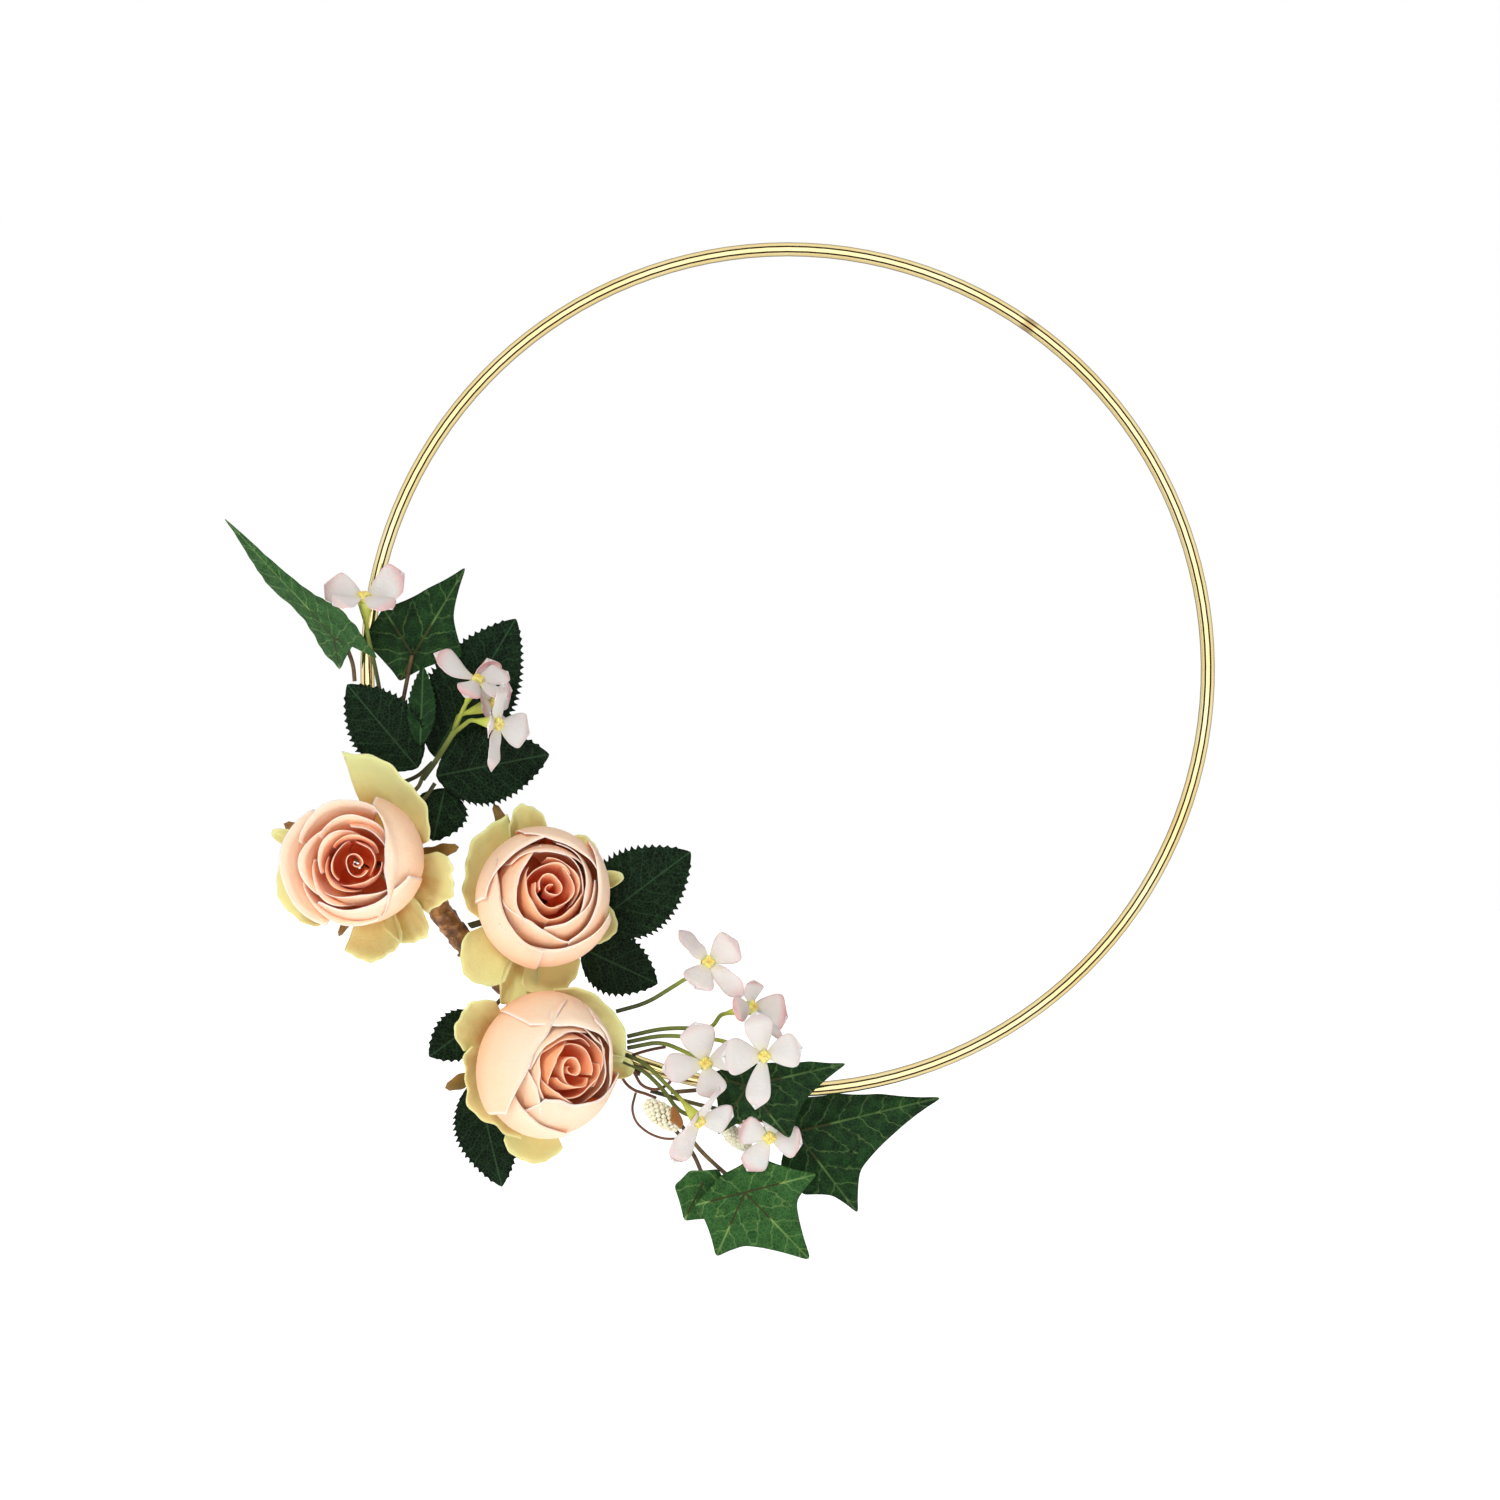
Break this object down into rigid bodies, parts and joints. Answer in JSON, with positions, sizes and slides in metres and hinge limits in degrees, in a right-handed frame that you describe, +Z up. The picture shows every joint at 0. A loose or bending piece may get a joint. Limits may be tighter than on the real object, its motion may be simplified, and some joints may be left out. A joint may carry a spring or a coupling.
{
  "type": "floral hoop wreath",
  "caption": "Round gold wire hoop with an off-centre spray of fabric roses, small blossoms, rose leaves, ivy and bead pods taped to its lower left side.",
  "frame": {"origin": "the point under the top of the hoop's wire where a hook or nail carries it", "axes": "+Z up, -Y towards the viewer, the hoop lies in the XZ plane; the spray is at lower left seen from the front"},
  "size_m": [0.3528, 0.0519, 0.363],
  "materials": {
    "hoop_gold": "polished gold plate",
    "stem_wire": "brown paper-covered wire",
    "paper_tape": "crinkled brown paper tape, waxed",
    "binding_wire": "brown enamelled wire",
    "rose_heart": "coral satin fabric",
    "rose_inner": "peach satin fabric",
    "rose_outer": "pale peach satin fabric with paler edges",
    "rose_guard": "pale yellow-green fabric",
    "rose_calyx": "olive moulded plastic, brown tips",
    "rose_stem": "olive-brown sleeved wire",
    "rose_leaf": "very dark green pressed fabric",
    "ivy_leaf": "mid green pressed fabric with pale veins",
    "ivy_petiole": "brown sleeved wire",
    "blossom_petal": "white fabric with pink tips",
    "blossom_stem": "yellow-green moulded plastic",
    "pod_beads": "cream beads"
  },
  "bodies": {
    "wreath": {"hoop": "hoop_gold", "core_stem": "stem_wire", "tape_wrap_upper": "paper_tape", "tape_wrap_lower": "paper_tape", "binding_wire": "binding_wire", "tendril_wire": "binding_wire", "rose_stems": "rose_stem", "rose_leaf_stems": "rose_stem", "bead_pods": "pod_beads", "rose_left_core": "rose_heart", "rose_left_inner_petals": "rose_inner", "rose_left_outer_petals": "rose_outer", "rose_left_guard_petals": "rose_guard", "rose_left_calyx": "rose_calyx", "rose_centre_core": "rose_heart", "rose_centre_inner_petals": "rose_inner", "rose_centre_outer_petals": "rose_outer", "rose_centre_guard_petals": "rose_guard", "rose_centre_calyx": "rose_calyx", "rose_lower_core": "rose_heart", "rose_lower_inner_petals": "rose_inner", "rose_lower_outer_petals": "rose_outer", "rose_lower_guard_petals": "rose_guard", "rose_lower_calyx": "rose_calyx", "rose_leaf_1": "rose_leaf", "rose_leaf_2": "rose_leaf", "rose_leaf_3": "rose_leaf", "rose_leaf_4": "rose_leaf", "rose_leaf_5": "rose_leaf", "rose_leaf_6": "rose_leaf", "rose_leaf_7": "rose_leaf", "rose_leaf_8": "rose_leaf", "rose_leaf_9": "rose_leaf", "ivy_leaf_b": "ivy_leaf", "ivy_leaf_c": "ivy_leaf", "ivy_leaf_e": "ivy_leaf", "ivy_leaf_f": "ivy_leaf", "ivy_petiole_b": "ivy_petiole", "ivy_petiole_e": "ivy_petiole", "ivy_petioles_lower": "ivy_petiole", "blossom_top": "blossom_petal", "blossom_upper_1": "blossom_petal", "blossom_upper_2": "blossom_petal", "blossom_upper_3": "blossom_petal", "blossom_lower_1": "blossom_petal", "blossom_lower_2": "blossom_petal", "blossom_lower_3": "blossom_petal", "blossom_lower_4": "blossom_petal", "blossom_lower_5": "blossom_petal", "sprig_top": "blossom_stem", "sprig_upper": "blossom_stem", "sprig_lower": "blossom_stem"},
    "ivy_top_spray": {"ivy_leaf_a": "ivy_leaf", "ivy_petiole_a": "ivy_petiole"},
    "inner_blossom_spray": {"blossom_inner": "blossom_petal", "sprig_inner": "blossom_stem"},
    "ivy_back_spray": {"ivy_leaf_d": "ivy_leaf", "ivy_petiole_d": "ivy_petiole"}
  },
  "joints": [
    {"name": "ivy_top_bend", "type": "hinge", "parent": "wreath", "child": "ivy_top_spray", "pos_m": [-0.154, -0.0054, -0.1516], "axis": [0.94, 0, 0.3412], "range_deg": [0, 15]},
    {"name": "inner_blossom_bend", "type": "hinge", "parent": "wreath", "child": "inner_blossom_spray", "pos_m": [-0.061, -0.0068, -0.269], "axis": [0.4226, 0, -0.9063], "range_deg": [0, 25]},
    {"name": "ivy_back_bend", "type": "hinge", "parent": "wreath", "child": "ivy_back_spray", "pos_m": [-0.0122, 0.0045, -0.3074], "axis": [0.2588, 0, 0.9659], "range_deg": [0, 20]}
  ]
}
